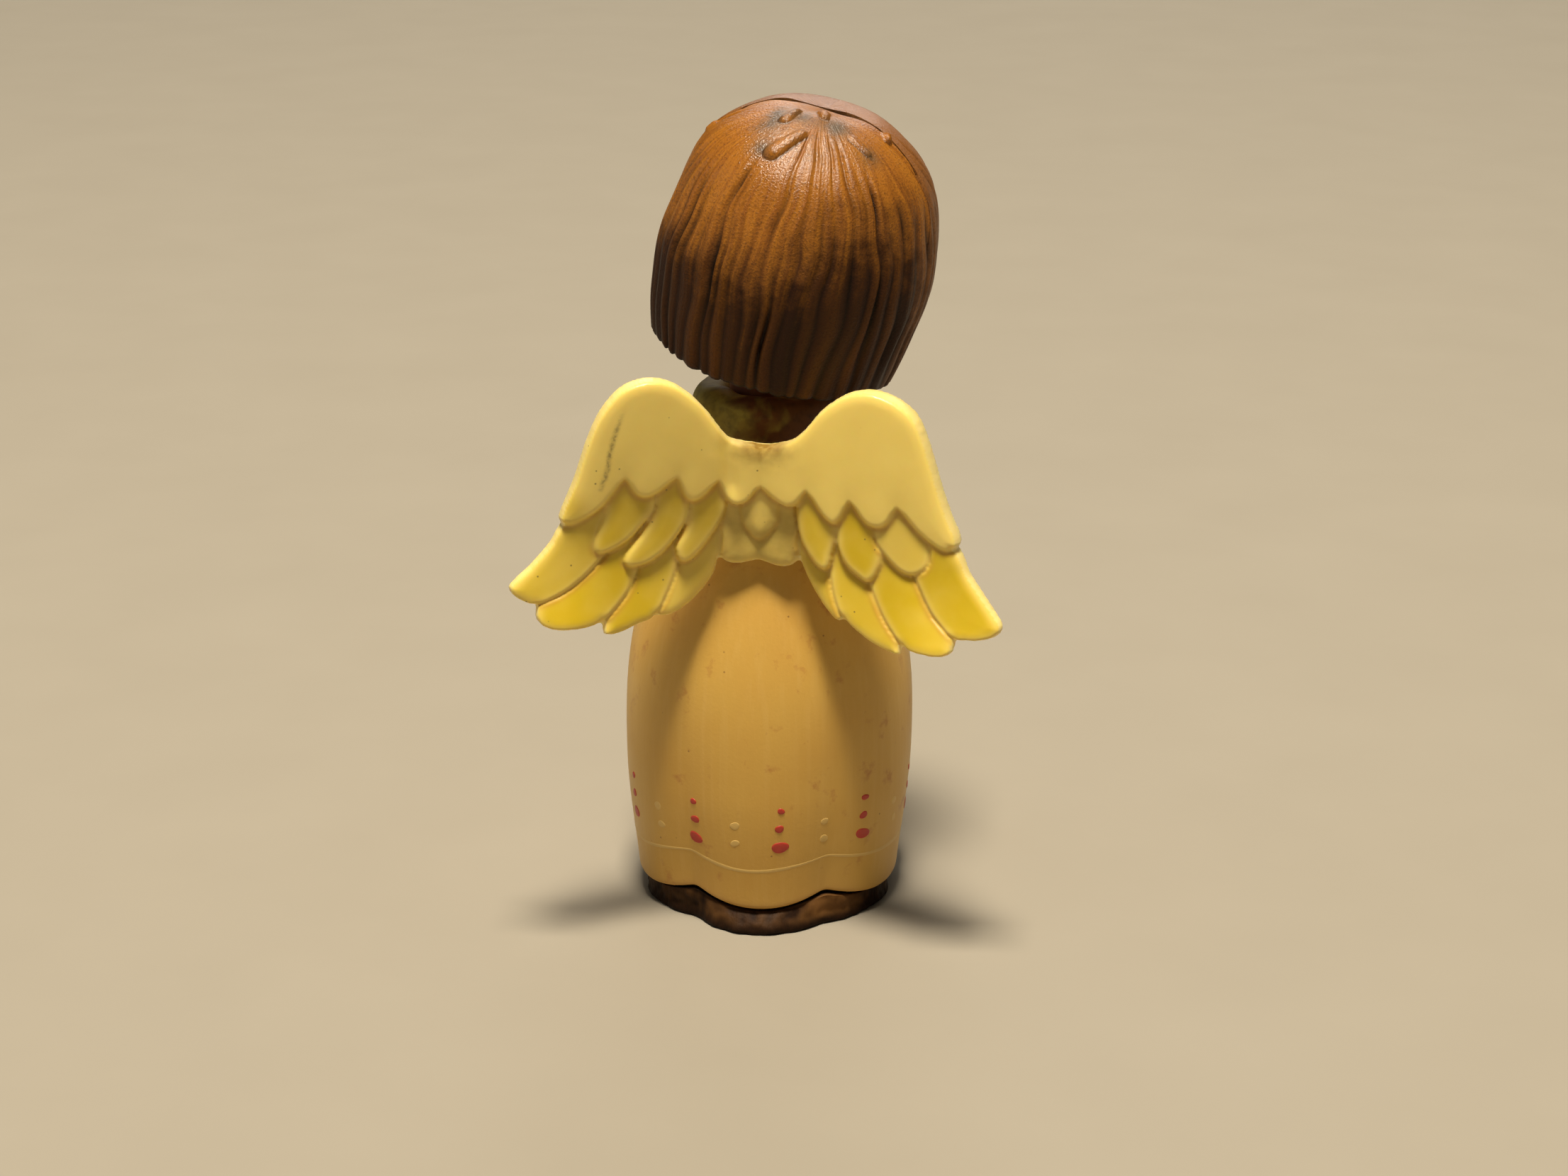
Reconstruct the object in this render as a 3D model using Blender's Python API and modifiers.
"""Angel figurine: a fluted robe on a dark base, a bobbed head on a bent neck peg, and moulded wings.

The figure stands on z = 0 at the centre of its base and faces -Y, so its left side is +X.
Lengths are written in millimetres times MM, and angles in degrees.
"""

import math

import bmesh
import bpy
import numpy as np
from mathutils import Matrix, Vector

MM = 0.001

# Clearances
SEAT_GAP = 0.3 * MM
TURN_GAP = 0.1 * MM

# Robe: a solid bell with six soft flutes that run out above the waist
ROBE_TOP = 77.0 * MM
BELLY_RADIUS = 23.6 * MM
BELLY_Z = 0.3 * ROBE_TOP
WAIST_Z = 0.545 * ROBE_TOP
CHEST_Z = 0.805 * ROBE_TOP
HEM_Z = 3.8 * MM
HEM_RADIUS = 0.936 * BELLY_RADIUS
WAIST_RADIUS = 0.944 * BELLY_RADIUS
CHEST_RADIUS = 0.7 * BELLY_RADIUS
SHOULDER_RADIUS = 0.4 * BELLY_RADIUS
HEM_ROUND = 0.9 * MM
LOBES = 6
FLUTE_DEPTH = 1.5 * MM
FLUTE_TOP = 0.65 * ROBE_TOP
HEM_SCALLOP = 2.3 * MM
SCALLOP_TOP = 0.17 * ROBE_TOP
HEM_WALL = 2.8 * MM
RECESS_DEPTH = 6.0 * MM

# Base: a dark plinth whose plug fills the recess under the robe
FOOT_RADIUS = HEM_RADIUS + 0.6 * MM
FOOT_EDGE = 0.7 * MM
BASE_FLUTE = 0.9 * MM
BASE_TURN = 24.0

# Neck peg and collar
NECK_RADIUS = 6.3 * MM
NECK_BEND_Z = ROBE_TOP + 9.0 * MM
NECK_BEND_RUN = 2.5 * MM
HEAD_LEAN = 12.6
SPIGOT_RADIUS = 4.8 * MM
SPIGOT_LENGTH = 11.0 * MM
PIN_RADIUS = 3.6 * MM
PIN_LENGTH = 14.0 * MM
COLLAR_OUTER = NECK_RADIUS + 5.9 * MM
COLLAR_HEIGHT = 7.4 * MM

# Head and hair, measured from the centre of the head
HEAD_RADIUS = 17.9 * MM
HEAD_STRETCH = 1.055
HEAD_TURN = -10.0
HEAD_RISE = HEAD_STRETCH * HEAD_RADIUS + NECK_BEND_RUN + 0.4 * MM
NOSE_RADIUS = 2.1 * MM
NOSE_DROP = 0.22 * HEAD_RADIUS
HAIR_TOP = HEAD_STRETCH * HEAD_RADIUS + 2.9 * MM
HAIR_RADIUS = HEAD_RADIUS + 3.5 * MM
HAIR_HEM_RADIUS = HEAD_RADIUS + 0.7 * MM
HAIR_HEM_DROP = 1.03 * HEAD_RADIUS
HAIR_HEM_WALL = 2.6 * MM
BACK_HEM_DROP = 1.2 * MM
STRANDS = 36
GROOVE_DEPTH = 0.55 * MM
CROWN_SHIFT = 13.0
SEAM_GAP = 0.45 * MM
SEAM_BACK = 2.8 * MM
FACE_WIDTH = 1.4 * HEAD_RADIUS
FRINGE_RISE = 0.39 * HEAD_RADIUS
TEMPLE_RISE = 0.06 * HEAD_RADIUS

# Wings: one moulding, with the feathers laid out on a plane behind each shoulder
WING_SWEEP = 14.0
WING_LEAN = 3.5
WING_ROLL = -2.5
WING_FOOT_Z = 0.798 * ROBE_TOP
WING_UNIT = 1.0 * MM
WING_CLEARANCE = 1.2 * MM
COVERT_LEVEL = 3.6 * MM
SECONDARY_LEVEL = 2.9 * MM
PRIMARY_LEVEL = 2.2 * MM
FEATHER_EDGE = 0.4 * MM
BOSS_WIDTH = 11.0 * MM
BOSS_LOW = 2.0 * MM
BOSS_HIGH = 13.5 * MM
WING_DOWEL_RADIUS = 1.25 * MM
WING_DOWEL_SPREAD = 3.2 * MM
WING_DOWEL_HEIGHT = 8.5 * MM
WING_DOWEL_IN_ROBE = 6.0 * MM
WING_DOWEL_IN_WING = 1.6 * MM

# Sleeves and hands, in front of the chest
# Each arm knot: angle round from the front, height, and distance out from the robe
ARM_KNOTS = [
    (80.0, 0.935 * ROBE_TOP, -3.4 * MM),
    (62.0, 0.792 * ROBE_TOP, 1.6 * MM),
    (38.0, 0.721 * ROBE_TOP, 3.2 * MM),
    (13.5, 0.773 * ROBE_TOP, 5.2 * MM),
]
SHOULDER_SLEEVE = 4.0 * MM
ELBOW_SLEEVE = 4.4 * MM
CUFF_SLEEVE = 4.8 * MM
CUFF_WALL = 1.5 * MM
CUFF_DEPTH = 4.0 * MM
ARM_DOWEL_RADIUS = 1.0 * MM
ARM_DOWEL_IN_ROBE = 4.0 * MM
ARM_DOWEL_IN_SLEEVE = 2.2 * MM
HAND_LENGTH = 14.5 * MM
HAND_WIDTH = 6.4 * MM
HAND_THICKNESS = 5.2 * MM
WRIST_RADIUS = 2.3 * MM

# Facets
ROBE_STEPS = 60
ROUND_STEPS = 28
PEG_STEPS = 16

PARTS_COLLECTION = "angel figurine"
CUTTERS_COLLECTION = "cutters"


def clear_scene():
    for obj in list(bpy.data.objects):
        bpy.data.objects.remove(obj)
    for name in (PARTS_COLLECTION, CUTTERS_COLLECTION):
        bpy.context.scene.collection.children.link(bpy.data.collections.new(name))


def finish(name, colour, roughness, metallic=0.0):
    """A plain Principled material for one kind of surface."""
    material = bpy.data.materials.new(name)
    material.use_nodes = True
    shader = material.node_tree.nodes["Principled BSDF"]
    shader.inputs["Base Color"].default_value = (*colour, 1.0)
    shader.inputs["Roughness"].default_value = roughness
    shader.inputs["Metallic"].default_value = metallic
    return material


def add(name, data, helper=False):
    """A new object in the parts collection, or a hidden helper among the cutters."""
    obj = bpy.data.objects.new(name, data)
    bpy.data.collections[CUTTERS_COLLECTION if helper else PARTS_COLLECTION].objects.link(obj)
    if helper:
        obj.hide_render = True
        obj.display_type = "WIRE"
    return obj


def smooth_points(points, per_span):
    """Points along a smooth curve that passes through the given ones."""
    knots = [np.array(p, float) for p in points]
    knots = [2 * knots[0] - knots[1], *knots, 2 * knots[-1] - knots[-2]]
    curve = []
    for before, start, end, after in zip(knots, knots[1:], knots[2:], knots[3:]):
        for t in np.arange(per_span) / per_span:
            curve.append(
                0.5
                * (
                    2 * start
                    + (end - before) * t
                    + (2 * before - 5 * start + 4 * end - after) * t**2
                    + (3 * start - before - 3 * end + after) * t**3
                )
            )
    return [*curve, knots[-2]]


def evaluated_mesh(obj):
    """The object's shape with its modifiers applied and a curve's loose caps welded."""
    graph = bpy.context.evaluated_depsgraph_get()
    mesh = bpy.data.meshes.new_from_object(obj.evaluated_get(graph))
    shape = bmesh.new()
    shape.from_mesh(mesh)
    bmesh.ops.remove_doubles(shape, verts=shape.verts, dist=1e-6)
    bmesh.ops.recalc_face_normals(shape, faces=shape.faces)
    shape.to_mesh(mesh)
    shape.free()
    return mesh


def settled(obj, helper=False):
    """The object remade as a plain mesh under the same name and in the same place."""
    bpy.context.view_layer.update()
    name, place = obj.name, obj.matrix_world.copy()
    mesh = evaluated_mesh(obj)
    bpy.data.objects.remove(obj)
    solid = add(name, mesh, helper)
    solid.matrix_world = place
    return solid


def turned(name, profile, steps, closed=False, helper=False):
    """A turned solid. The profile holds (radius, height) points down the outer side."""
    mesh = bpy.data.meshes.new(name)
    count = len(profile)
    edges = [(i, (i + 1) % count) for i in range(count if closed else count - 1)]
    mesh.from_pydata([(r, 0.0, z) for r, z in profile], edges, [])
    obj = add(name, mesh, helper)
    screw = obj.modifiers.new("turn", "SCREW")
    screw.steps = screw.render_steps = steps
    screw.use_merge_vertices = True
    screw.merge_threshold = 1e-6
    return settled(obj, helper)


def cylinder(name, start, end, radius, steps=PEG_STEPS, helper=False):
    """A round peg between two points."""
    start, end = Vector(start), Vector(end)
    shape = bmesh.new()
    bmesh.ops.create_cone(
        shape,
        cap_ends=True,
        segments=steps,
        radius1=radius,
        radius2=radius,
        depth=(end - start).length,
    )
    mesh = bpy.data.meshes.new(name)
    shape.to_mesh(mesh)
    shape.free()
    obj = add(name, mesh, helper)
    obj.rotation_euler = (end - start).to_track_quat("Z", "Y").to_euler()
    obj.location = (start + end) / 2
    return obj


def ball(name, radii, centre, segments=ROUND_STEPS, rings=16, helper=False):
    """A sphere stretched to three radii."""
    shape = bmesh.new()
    bmesh.ops.create_uvsphere(shape, u_segments=segments, v_segments=rings, radius=1.0)
    bmesh.ops.scale(shape, vec=radii, verts=shape.verts)
    mesh = bpy.data.meshes.new(name)
    shape.to_mesh(mesh)
    shape.free()
    obj = add(name, mesh, helper)
    obj.location = centre
    return obj


def box(name, low, high, helper=True):
    """A block between two opposite corners."""
    low, high = Vector(low), Vector(high)
    shape = bmesh.new()
    bmesh.ops.create_cube(shape, size=1.0)
    bmesh.ops.scale(shape, vec=high - low, verts=shape.verts)
    mesh = bpy.data.meshes.new(name)
    shape.to_mesh(mesh)
    shape.free()
    obj = add(name, mesh, helper)
    obj.location = (low + high) / 2
    return obj


def tube(name, points, radii, sides_resolution=4, helper=False):
    """A round bar along the points, with its own radius at each of them."""
    curve = bpy.data.curves.new(name, "CURVE")
    curve.dimensions = "3D"
    curve.bevel_depth = 1.0
    curve.bevel_resolution = sides_resolution
    curve.use_fill_caps = True
    spline = curve.splines.new("POLY")
    spline.points.add(len(points) - 1)
    for knot, point, radius in zip(spline.points, points, radii):
        knot.co = (*point, 1.0)
        knot.radius = radius
    return settled(add(name, curve, helper), helper)


def plate(name, outline, low, high, edge=0.0, helper=True):
    """A flat outline in the XY plane made solid from z = low to z = high, with rounded edges."""
    curve = bpy.data.curves.new(name, "CURVE")
    curve.dimensions = "2D"
    curve.fill_mode = "BOTH"
    curve.extrude = (high - low) / 2 - edge
    curve.bevel_depth = edge
    curve.bevel_resolution = 0
    curve.offset = -edge
    spline = curve.splines.new("POLY")
    spline.use_cyclic_u = True
    spline.points.add(len(outline) - 1)
    for knot, (x, y) in zip(spline.points, outline):
        knot.co = (x, y, 0.0, 1.0)
    obj = add(name, curve, helper)
    obj.location.z = (low + high) / 2
    return settled(obj, helper)


def combine(target, other, operation):
    """Cuts the other object out of the target, or joins it on, with a Boolean modifier."""
    modifier = target.modifiers.new(other.name, "BOOLEAN")
    modifier.operation = operation
    modifier.object = other
    other.hide_render = True
    other.display_type = "WIRE"


def reshape(obj, move):
    """Moves every vertex of a mesh by a rule."""
    for vertex in obj.data.vertices:
        vertex.co = move(vertex.co.copy())


def smooth_shading(obj, angle=40.0):
    obj.data.shade_smooth()
    obj.data.set_sharp_from_angle(angle=math.radians(angle))


def fade(value, start, end):
    """1 at start, 0 at end, and smooth between."""
    t = min(1.0, max(0.0, (value - end) / (start - end)))
    return t * t * (3 - 2 * t)


def valley(angle, turn=0.0):
    """0 along the middle of each lobe and 1 in the crease between two, round the robe."""
    return 1 - abs(math.cos(LOBES / 2 * (angle - math.radians(turn)))) ** 0.8


def angle_from_back(point):
    return math.atan2(point.x, point.y)


def polar_angle(point):
    return math.atan2(math.hypot(point.x, point.y), point.z)


# Robe and base

ROBE_SIDE = smooth_points(
    [
        (SHOULDER_RADIUS, ROBE_TOP),
        (CHEST_RADIUS, CHEST_Z),
        (WAIST_RADIUS, WAIST_Z),
        (BELLY_RADIUS, BELLY_Z),
        (HEM_RADIUS, HEM_Z + HEM_ROUND),
    ],
    3,
)


def robe_radius(height):
    """The robe's radius over a lobe, at a height."""
    radii, heights = zip(*((r, z) for r, z in reversed(ROBE_SIDE)))
    return float(np.interp(height, heights, radii))


def fluted(point, depth, turn=0.0):
    """A point of the robe or base drawn in towards the axis along the creases."""
    radius = math.hypot(point.x, point.y)
    if radius < 1e-9:
        return point
    pull = depth * valley(angle_from_back(point), turn)
    point.xy *= (radius - pull) / radius
    return point


def drape(point):
    """Gives a turned robe its flutes, and lifts the hem at each crease."""
    if math.hypot(point.x, point.y) < HEM_RADIUS - HEM_WALL - 1e-6 and point.z > HEM_Z + HEM_ROUND:
        return point
    crease = valley(angle_from_back(point))
    outer = math.hypot(point.x, point.y) > robe_radius(point.z) - 2 * HEM_ROUND
    if outer:
        point = fluted(point, FLUTE_DEPTH * fade(point.z, HEM_Z, FLUTE_TOP))
    if point.z < SCALLOP_TOP and (outer or point.z < HEM_Z + HEM_ROUND):
        point.z += HEM_SCALLOP * crease * (SCALLOP_TOP - point.z) / (SCALLOP_TOP - HEM_Z)
    return point


def robe_envelope(grow):
    """The robe's outside as a closed solid, grown by a gap, to cut what sits against it."""
    side = [(r + grow, z) for r, z in ROBE_SIDE]
    profile = [(0.0, ROBE_TOP + grow), *side, (0.0, HEM_Z + HEM_ROUND)]
    envelope = turned("robe_envelope", profile, ROBE_STEPS, helper=True)
    reshape(envelope, lambda p: fluted(p, FLUTE_DEPTH * fade(p.z, HEM_Z, FLUTE_TOP)))
    return envelope


def make_robe(material):
    recess = HEM_RADIUS - HEM_WALL
    bore = SPIGOT_RADIUS + SEAT_GAP
    bore_floor = ROBE_TOP - SPIGOT_LENGTH - SEAT_GAP
    recess_roof = HEM_Z + RECESS_DEPTH
    profile = [
        (0.0, bore_floor),
        (bore, bore_floor),
        (bore, ROBE_TOP),
        *ROBE_SIDE,
        (HEM_RADIUS - HEM_ROUND, HEM_Z),
        (recess, HEM_Z),
        (recess, recess_roof),
        (0.0, recess_roof),
    ]
    robe = turned("robe", profile, ROBE_STEPS)
    reshape(robe, drape)
    robe.data.materials.append(material)
    smooth_shading(robe)
    return robe


def make_base(material):
    plug = HEM_RADIUS - HEM_WALL - SEAT_GAP
    plug_top = HEM_Z + RECESS_DEPTH - SEAT_GAP
    ledge = HEM_Z - SEAT_GAP
    ledge_radius = HEM_RADIUS - HEM_ROUND
    profile = [
        (0.0, plug_top),
        (plug, plug_top),
        (plug, ledge),
        (ledge_radius, ledge),
        ((ledge_radius + FOOT_RADIUS) / 2, ledge * 0.7),
        (FOOT_RADIUS, FOOT_EDGE),
        (FOOT_RADIUS - FOOT_EDGE, 0.0),
        (0.0, 0.0),
    ]
    base = turned("base", profile, ROBE_STEPS)

    def shape(point):
        radius = math.hypot(point.x, point.y)
        if radius < plug - 1e-6 or point.z > ledge + 1e-6:
            return point
        if radius > plug + 1e-6:
            if point.z > FOOT_EDGE:
                point.z += HEM_SCALLOP * valley(angle_from_back(point)) * point.z / HEM_Z
            point = fluted(point, BASE_FLUTE, BASE_TURN)
        else:
            point.z += HEM_SCALLOP * valley(angle_from_back(point)) * point.z / HEM_Z
        return point

    reshape(base, shape)
    base.data.materials.append(material)
    smooth_shading(base)
    return base


# Neck peg, collar and head

LEAN = math.radians(HEAD_LEAN)
NECK_POINT = Vector((0.0, 0.0, NECK_BEND_Z))
HEAD_AXIS = Vector((-math.sin(LEAN), 0.0, math.cos(LEAN)))


def make_neck_peg(material):
    """A bent neck with a spigot for the robe below and a round pin for the head above."""
    low = ROBE_TOP + SEAT_GAP
    knee = NECK_POINT - Vector((0, 0, NECK_BEND_RUN))
    seat = NECK_POINT + HEAD_AXIS * NECK_BEND_RUN
    bend = [
        knee.lerp(NECK_POINT, t).lerp(NECK_POINT.lerp(seat, t), t)
        for t in np.linspace(0, 1, 5)
    ]
    line = [Vector((0, 0, low)), *bend]
    peg = tube("neck_peg", line, [NECK_RADIUS] * len(line), 6)
    inside = NECK_RADIUS / 2
    spigot = cylinder(
        "neck_spigot",
        (0, 0, ROBE_TOP - SPIGOT_LENGTH),
        (0, 0, low + inside),
        SPIGOT_RADIUS,
        helper=True,
    )
    pin = cylinder(
        "head_pin",
        seat - HEAD_AXIS * inside,
        seat + HEAD_AXIS * PIN_LENGTH,
        PIN_RADIUS,
        ROUND_STEPS,
        helper=True,
    )
    combine(peg, spigot, "UNION")
    combine(peg, pin, "UNION")
    peg.data.materials.append(material)
    smooth_shading(peg)
    return peg


def soft(share, power=0.72):
    """A sine or cosine made fuller, so that a round section turns into a soft square one."""
    return math.copysign(abs(share) ** power, share)


def make_collar(material):
    """A soft rolled collar lying on the shoulders, round the neck."""
    inner = NECK_RADIUS + SEAT_GAP
    low = ROBE_TOP + SEAT_GAP
    middle = (inner + COLLAR_OUTER) / 2
    half = (COLLAR_OUTER - inner) / 2
    section = [
        (middle + half * soft(math.cos(a)), low + COLLAR_HEIGHT / 2 * (1 + soft(math.sin(a))))
        for a in np.linspace(math.pi / 2, -3 * math.pi / 2, 14, endpoint=False)
    ]
    collar = turned("collar", section, ROUND_STEPS, closed=True)
    collar.data.materials.append(material)
    smooth_shading(collar)
    return collar


HAIR_SIDE = smooth_points(
    [
        (0.0, HAIR_TOP),
        (0.43 * HAIR_RADIUS, 0.95 * HAIR_TOP),
        (0.845 * HAIR_RADIUS, 0.6 * HAIR_TOP),
        (HAIR_RADIUS, 0.0),
        (0.5 * (HAIR_RADIUS + HAIR_HEM_RADIUS) + 0.4 * MM, -0.55 * HAIR_HEM_DROP),
        (HAIR_HEM_RADIUS, -HAIR_HEM_DROP),
    ],
    3,
)


def hair_reach(polar):
    """How far the hair reaches from the head's centre, at an angle down from the crown."""
    angles = [math.atan2(r, z) for r, z in HAIR_SIDE]
    return float(np.interp(polar, angles, [math.hypot(r, z) for r, z in HAIR_SIDE]))


def head_radii(grow=0.0):
    return (HEAD_RADIUS + grow, HEAD_RADIUS + grow, HEAD_STRETCH * HEAD_RADIUS + grow)


def comb(point):
    """Cuts the strands into the hair's outside and draws the crown towards the back."""
    reach = point.length
    if reach < HEAD_STRETCH * HEAD_RADIUS:
        return point
    polar = polar_angle(point)
    if reach < hair_reach(polar) - 0.5 * HAIR_HEM_WALL:
        return point
    around = angle_from_back(point)
    groove = abs(math.sin(STRANDS / 2 * around))
    depth = GROOVE_DEPTH * fade(polar, math.radians(60), math.radians(8))
    shift = math.radians(CROWN_SHIFT) * fade(polar, 0.0, math.radians(90))
    aim = Matrix.Rotation(-shift, 3, "X") @ point.normalized()
    return aim * (hair_reach(polar_angle(aim)) - depth * (1 - groove))


def lower_back_hem(point):
    """Lets the hair hang a little lower at the back than over the face."""
    low = fade(point.z, -HAIR_HEM_DROP, 0.0)
    back = fade(point.y, HAIR_HEM_RADIUS, 0.0)
    point.z -= BACK_HEM_DROP * low * back
    return point


def make_hair_shell(name, helper):
    """The whole bob as one shell with its inside shaped to the head, before it is split."""
    inner_radius, _, inner_height = head_radii(2 * SEAT_GAP)
    lining = [
        (inner_radius * math.sin(a), inner_height * math.cos(a))
        for a in np.linspace(math.radians(95), 0, 6)
    ]
    hem = (HAIR_HEM_RADIUS - HAIR_HEM_WALL, -HAIR_HEM_DROP)
    profile = [*HAIR_SIDE, hem, *lining]
    profile[-1] = (0.0, inner_height)
    shell = turned(name, profile, 2 * STRANDS, helper=helper)
    reshape(shell, lambda p: lower_back_hem(comb(p)))
    return shell


def face_window():
    """The opening that the fringe and side locks leave over the face, as a cutter."""
    half, floor = FACE_WIDTH / 2, -2 * HAIR_HEM_DROP
    arch = smooth_points(
        [(-half, TEMPLE_RISE), (-0.7 * half, FRINGE_RISE), (0.7 * half, FRINGE_RISE), (half, TEMPLE_RISE)],
        3,
    )
    outline = [(half, floor), (-half, floor), *((x, y) for x, y in arch)]
    window = plate("face_window", outline, 0.0, 2 * HAIR_RADIUS)
    window.data.transform(Matrix.Translation((0, 0, window.location.z)))
    window.location.z = 0.0
    window.data.transform(Matrix.Rotation(math.radians(90), 4, "X"))
    return window


def make_head_group(skin, hair):
    """Head, back hair and front hair, built upright and then set leaning on the neck's pin."""
    head = ball("head", head_radii(), (0, 0, 0), ROUND_STEPS, 18)
    nose = ball("nose", (NOSE_RADIUS,) * 3, (0, -HEAD_RADIUS, -NOSE_DROP), 12, 8, helper=True)
    seat = -HEAD_RISE + NECK_BEND_RUN + SEAT_GAP
    flat = box("chin_flat", (-HEAD_RADIUS, -HEAD_RADIUS, -2 * HEAD_RISE), (HEAD_RADIUS, HEAD_RADIUS, seat))
    socket = cylinder(
        "head_socket",
        (0, 0, -1.2 * HEAD_RISE),
        (0, 0, seat + PIN_LENGTH + SEAT_GAP),
        PIN_RADIUS + TURN_GAP,
        ROUND_STEPS,
        helper=True,
    )
    combine(head, nose, "UNION")
    combine(head, flat, "DIFFERENCE")
    combine(head, socket, "DIFFERENCE")
    head.data.materials.append(skin)

    span = 2 * HAIR_RADIUS
    back = make_hair_shell("hair_back", False)
    front = make_hair_shell("hair_front", False)
    front_half = box("front_half", (-span, -span, -span), (span, SEAM_BACK + SEAM_GAP / 2, span))
    back_half = box("back_half", (-span, SEAM_BACK - SEAM_GAP / 2, -span), (span, span, span))
    window = face_window()
    combine(back, front_half, "DIFFERENCE")
    combine(front, back_half, "DIFFERENCE")
    combine(front, window, "DIFFERENCE")
    for shell in (back, front):
        shell.data.materials.append(hair)

    turn = Matrix.Rotation(math.radians(HEAD_TURN), 4, "Z")
    lean = Matrix.Rotation(-LEAN, 4, "Y")
    place = Matrix.Translation(NECK_POINT + HEAD_AXIS * HEAD_RISE) @ lean @ turn
    for obj in (head, nose, flat, socket, back, front, front_half, back_half, window):
        obj.matrix_world = place @ obj.matrix_basis
    smooth_shading(head)
    for shell in (back, front):
        smooth_shading(shell, 14.0)
    return head, back, front


# Wings

COVERT_TOP = [(0.0, 18.4), (5.0, 19.6), (8.7, 24.0), (16.7, 28.4), (23.4, 25.6), (27.2, 18.0), (31.4, 6.0)]
COVERT_CUSPS = [(31.4, 6.0), (21.4, 12.1), (13.7, 12.1), (7.2, 12.2), (0.0, 12.3)]
COVERT_SAGS = [2.6, 3.4, 3.7, 3.4]
# Each feather: root, tip and width, from the inner edge of the wing outwards
PRIMARIES = [
    ((10.2, 7.0), (14.0, -9.4), 7.6),
    ((12.5, 6.0), (22.4, -12.6), 8.4),
    ((17.5, 7.0), (31.0, -12.2), 8.8),
    ((22.5, 10.0), (37.8, -6.7), 8.4),
]
SECONDARIES = [
    ((7.4, 13.4), (11.3, 0.4), 5.4),
    ((13.4, 13.6), (18.8, -0.4), 6.0),
    ((20.2, 13.6), (25.2, 1.6), 6.8),
]
PANEL_CUSPS = [(6.6, 0.6), (0.0, -0.1), (-6.6, 0.6)]
PANEL_SAG = 0.9
PANEL_TOP = 13.0
PANEL_HALF = 8.8
DIAMOND = ((0.0, 14.0), (0.0, 4.2), 5.8)
PRIMARY_STEP = 0.18 * MM


def scallop(start, end, sag, count=5):
    """Points of one rounded lobe that hangs between two cusps, leaving out the last."""
    start, end = np.array(start), np.array(end)
    run = end - start
    down = np.array((run[1], -run[0])) / np.hypot(*run)
    down = down if down[1] < 0 else -down
    return [start + run * t + down * sag * 4 * t * (1 - t) for t in np.arange(count) / count]


def feather_outline(root, tip, width):
    """A leaf with a narrow root, full middle and rounded tip."""
    root, tip = np.array(root), np.array(tip)
    along = tip - root
    across = np.array((-along[1], along[0])) / np.hypot(*along)
    shares = [(0.0, 0.46), (0.35, 0.52), (0.65, 0.51), (0.86, 0.43), (0.97, 0.24)]
    left = [root + along * t + across * width * w for t, w in shares]
    right = [root + along * t - across * width * w for t, w in shares]
    return smooth_points([*left, tip, *reversed(right)], 2)


def sided(points, side):
    """An outline of the feather layout in metres, mirrored for the other wing."""
    return [(side * u * WING_UNIT, w * WING_UNIT) for u, w in points]


def wing_layers(side):
    """The plates of one wing, flat: long feathers below, short ones over them, coverts on top."""
    word = "left" if side > 0 else "right"
    plates = []
    for i, (root, tip, width) in enumerate(PRIMARIES):
        lift = i * PRIMARY_STEP
        outline = sided(feather_outline(root, tip, width), side)
        plates.append(plate(f"{word}_primary_{i}", outline, lift, PRIMARY_LEVEL + lift, FEATHER_EDGE))
    for i, (root, tip, width) in enumerate(SECONDARIES):
        lift = i * PRIMARY_STEP / 2
        outline = sided(feather_outline(root, tip, width), side)
        plates.append(plate(f"{word}_secondary_{i}", outline, 0.3 * MM + lift, SECONDARY_LEVEL + lift, FEATHER_EDGE))
    edge = [p for a, b, s in zip(COVERT_CUSPS, COVERT_CUSPS[1:], COVERT_SAGS) for p in scallop(a, b, s)]
    past_middle = [(-1.0, COVERT_CUSPS[-1][1]), (-1.0, COVERT_TOP[0][1])]
    outline = sided([*smooth_points(COVERT_TOP, 3)[:-1], *edge, *past_middle], side)
    plates.append(plate(f"{word}_covert", outline, -0.2 * MM, COVERT_LEVEL, FEATHER_EDGE))
    turn = Matrix.Rotation(math.radians(-side * WING_SWEEP), 4, "Y")
    for obj in plates:
        obj.matrix_world = turn @ obj.matrix_world
    return plates


def wing_panel():
    """The plates that join the wings over the middle of the back, and the boss behind them."""
    bottom = [p for a, b in zip(PANEL_CUSPS, PANEL_CUSPS[1:]) for p in scallop(a, b, PANEL_SAG)]
    flank = [(-PANEL_HALF, 3.0), (-PANEL_HALF, PANEL_TOP), (PANEL_HALF, PANEL_TOP), (PANEL_HALF, 3.0)]
    outline = sided([*bottom, PANEL_CUSPS[-1], *flank], 1)
    panel = plate("wing_panel", outline, -0.4 * MM, PRIMARY_LEVEL, FEATHER_EDGE)
    diamond = plate("middle_feather", sided(feather_outline(*DIAMOND), 1), 0.5 * MM, SECONDARY_LEVEL, FEATHER_EDGE)
    depth = robe_radius(WING_FOOT_Z)
    boss = box("wing_boss", (-BOSS_WIDTH / 2, BOSS_LOW, -depth), (BOSS_WIDTH / 2, BOSS_HIGH, PRIMARY_LEVEL / 2))
    return [panel, diamond, boss]


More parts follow.
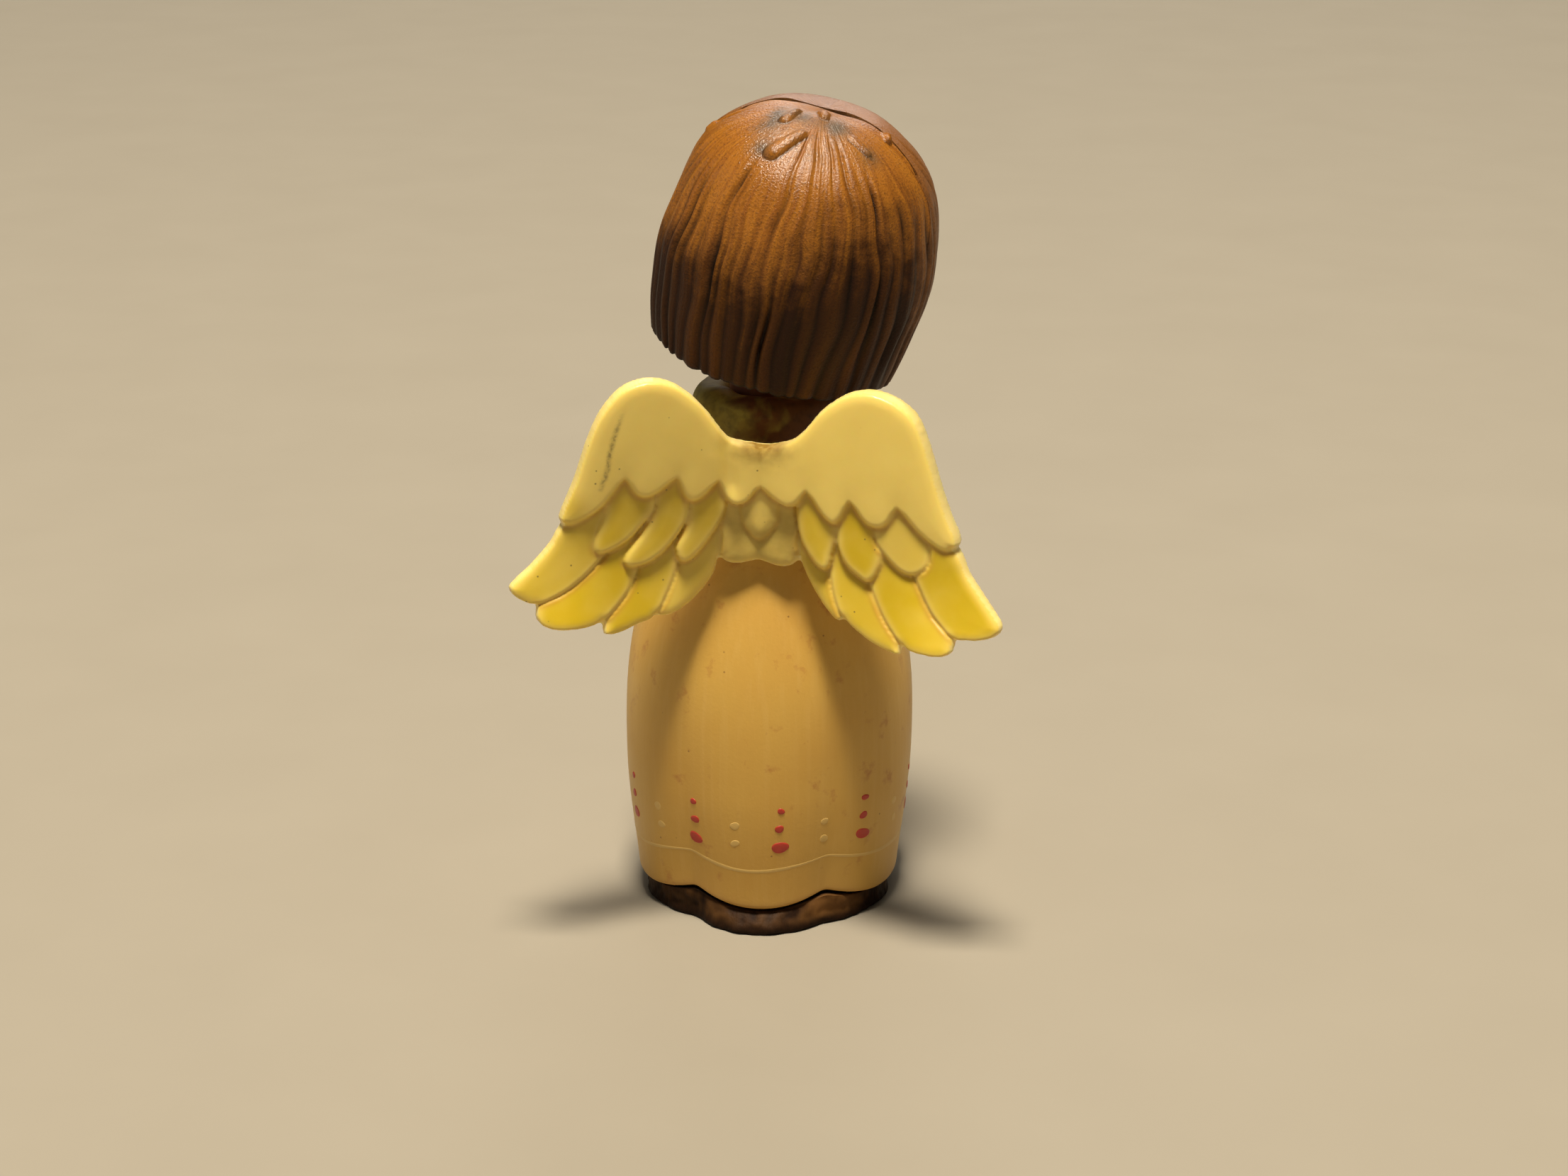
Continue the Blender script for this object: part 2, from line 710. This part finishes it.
def wing_place():
    """Where the flat wing layout goes: its x across, its y up, its z out of the figure's back.

    It stands as close to the robe as the hair, which turns in front of it, lets it.
    """
    stand = Matrix(((1, 0, 0, 0), (0, 0, 1, 0), (0, 1, 0, 0), (0, 0, 0, 1)))
    lean = Matrix.Rotation(math.radians(WING_LEAN), 4, "X")
    roll = Matrix.Rotation(math.radians(WING_ROLL), 4, "Y")
    across, up = (WING_UNIT * c for c in COVERT_TOP[2])
    hair_back = math.sqrt(HAIR_HEM_RADIUS**2 - across**2) + WING_CLEARANCE
    tilt = up * math.sin(math.radians(WING_LEAN)) - across * math.sin(math.radians(WING_SWEEP))
    back = Vector((0, max(robe_radius(WING_FOOT_Z) + 2 * SEAT_GAP, hair_back + tilt), WING_FOOT_Z))
    return Matrix.Translation(back) @ roll @ lean @ stand


def wing_dowel_line(side):
    """Ends of one dowel, level, from inside the robe to inside the wings."""
    x, height = side * WING_DOWEL_SPREAD, WING_FOOT_Z + WING_DOWEL_HEIGHT
    skin = math.sqrt(robe_radius(height) ** 2 - x**2)
    behind = (wing_place() @ Vector((x, WING_DOWEL_HEIGHT, 0.0))).y
    inner = max(skin - WING_DOWEL_IN_ROBE, SPIGOT_RADIUS + 4 * SEAT_GAP)
    return Vector((x, inner, height)), Vector((x, behind + WING_DOWEL_IN_WING, height))


def make_wings(material):
    plates = wing_panel() + wing_layers(1) + wing_layers(-1)
    group = bpy.data.collections.new("wing plates")
    bpy.context.scene.collection.children.link(group)
    group.hide_render = True
    place = wing_place()
    for obj in plates:
        obj.data.transform(obj.matrix_world)
        obj.matrix_world = Matrix.Identity(4)
        obj.data.transform(place)
        obj.data.flip_normals()
    wings = add("wings", plates[0].data.copy())
    for obj in plates[1:]:
        group.objects.link(obj)
    join = wings.modifiers.new("feathers", "BOOLEAN")
    join.operation = "UNION"
    join.operand_type = "COLLECTION"
    join.collection = group
    combine(wings, robe_envelope(SEAT_GAP), "DIFFERENCE")
    wings.data.materials.append(material)
    return wings


def bore_for(start, end, radius, name):
    """A cutter for a peg's hole, longer than the peg by the seat gap at both ends."""
    reach = (end - start).normalized() * SEAT_GAP
    return cylinder(name, start - reach, end + reach, radius + SEAT_GAP, helper=True)


def make_wing_dowel(side, robe, wings, material):
    word = "left" if side > 0 else "right"
    start, end = wing_dowel_line(side)
    dowel = cylinder(f"wing_dowel_{word}", start, end, WING_DOWEL_RADIUS)
    bore = bore_for(start, end, WING_DOWEL_RADIUS, f"wing_bore_{word}")
    for piece in (robe, wings):
        combine(piece, bore, "DIFFERENCE")
    dowel.data.materials.append(material)
    smooth_shading(dowel)
    return dowel


# Sleeves and hands


def sleeve_line(side):
    """The arm's middle line: down from the shoulder, round the elbow, in to the cuff."""
    knots = []
    for angle, height, stand_off in ARM_KNOTS:
        reach = robe_radius(height) + stand_off
        turn = math.radians(angle)
        knots.append((side * reach * math.sin(turn), -reach * math.cos(turn), height))
    return [Vector(p) for p in smooth_points(knots, 4)]


def make_sleeve(side, envelope, material):
    word = "left" if side > 0 else "right"
    line = sleeve_line(side)
    half = len(line) // 2
    radii = [
        *np.linspace(SHOULDER_SLEEVE, ELBOW_SLEEVE, half, endpoint=False),
        *np.linspace(ELBOW_SLEEVE, CUFF_SLEEVE, len(line) - half),
    ]
    sleeve = tube(f"sleeve_{word}", line, radii, 4)
    mouth = (line[-1] - line[-2]).normalized()
    hollow = cylinder(
        f"cuff_hollow_{word}",
        line[-1] - mouth * CUFF_DEPTH,
        line[-1] + mouth * CUFF_DEPTH,
        CUFF_SLEEVE - CUFF_WALL,
        helper=True,
    )
    combine(sleeve, envelope, "DIFFERENCE")
    combine(sleeve, hollow, "DIFFERENCE")
    sleeve.data.materials.append(material)
    smooth_shading(sleeve)
    return sleeve


def make_arm_dowel(side, robe, sleeve, material):
    """A short peg that pins the elbow of a sleeve to the robe."""
    word = "left" if side > 0 else "right"
    line = sleeve_line(side)
    elbow = line[len(line) // 2]
    out = Vector((elbow.x, elbow.y, 0)).normalized()
    skin = out * robe_radius(elbow.z) + Vector((0, 0, elbow.z))
    start, end = skin - out * ARM_DOWEL_IN_ROBE, skin + out * ARM_DOWEL_IN_SLEEVE
    dowel = cylinder(f"arm_dowel_{word}", start, end, ARM_DOWEL_RADIUS)
    bore = bore_for(start, end, ARM_DOWEL_RADIUS, f"arm_bore_{word}")
    for piece in (robe, sleeve):
        combine(piece, bore, "DIFFERENCE")
    dowel.data.materials.append(material)
    smooth_shading(dowel)
    return dowel


def make_hand(side, material):
    """One hand of a praying pair: a flat palm with a thumb, on a wrist that enters the cuff."""
    word = "left" if side > 0 else "right"
    line = sleeve_line(side)
    cuff, mouth = line[-1], (line[-1] - line[-2]).normalized()
    middle = cuff + Vector((0, -0.25 * CUFF_SLEEVE, 0.3 * HAND_LENGTH))
    middle.x = side * 0.3 * HAND_THICKNESS
    hand = ball(f"hand_{word}", (HAND_THICKNESS / 2, HAND_WIDTH / 2, HAND_LENGTH / 2), middle, 16, 12)
    thumb = ball(
        f"thumb_{word}",
        (0.4 * HAND_THICKNESS, 0.2 * HAND_WIDTH, 0.26 * HAND_LENGTH),
        middle + Vector((side * 0.1 * HAND_THICKNESS, 0.42 * HAND_WIDTH, 0.0)),
        10,
        8,
        helper=True,
    )
    wrist = tube(
        f"wrist_{word}",
        [cuff - mouth * (CUFF_DEPTH - SEAT_GAP), cuff, middle - Vector((0, 0, 0.2 * HAND_LENGTH))],
        [WRIST_RADIUS] * 3,
        3,
        helper=True,
    )
    palm_side = box(
        f"palm_side_{word}",
        (min(0, -side) * HAND_LENGTH + side * SEAT_GAP / 2 * (side < 0), -2 * HAND_LENGTH, -HAND_LENGTH),
        (max(0, -side) * HAND_LENGTH + side * SEAT_GAP / 2 * (side > 0), 2 * HAND_LENGTH, HAND_LENGTH),
    )
    palm_side.location += Vector((0, middle.y, middle.z))
    combine(hand, thumb, "UNION")
    combine(hand, wrist, "UNION")
    combine(hand, palm_side, "DIFFERENCE")
    hand.data.materials.append(material)
    smooth_shading(hand)
    return hand


def main():
    clear_scene()
    cream = finish("painted cream wood", (0.66, 0.42, 0.16), 0.45)
    brown = finish("dark stained wood", (0.045, 0.026, 0.014), 0.6)
    skin = finish("painted skin", (0.72, 0.45, 0.29), 0.5)
    olive = finish("painted olive", (0.07, 0.06, 0.02), 0.55)
    hair = finish("brown glazed hair", (0.23, 0.085, 0.02), 0.45)
    ivory = finish("ivory plastic", (0.78, 0.61, 0.22), 0.35)
    beech = finish("bare beech", (0.55, 0.36, 0.2), 0.7)

    robe = make_robe(cream)
    make_base(brown)
    make_neck_peg(skin)
    make_collar(olive)
    make_head_group(skin, hair)
    wings = make_wings(ivory)
    envelope = bpy.data.objects["robe_envelope"]
    for side in (1, -1):
        make_wing_dowel(side, robe, wings, beech)
        sleeve = make_sleeve(side, envelope, cream)
        make_arm_dowel(side, robe, sleeve, beech)
        make_hand(side, skin)


main()
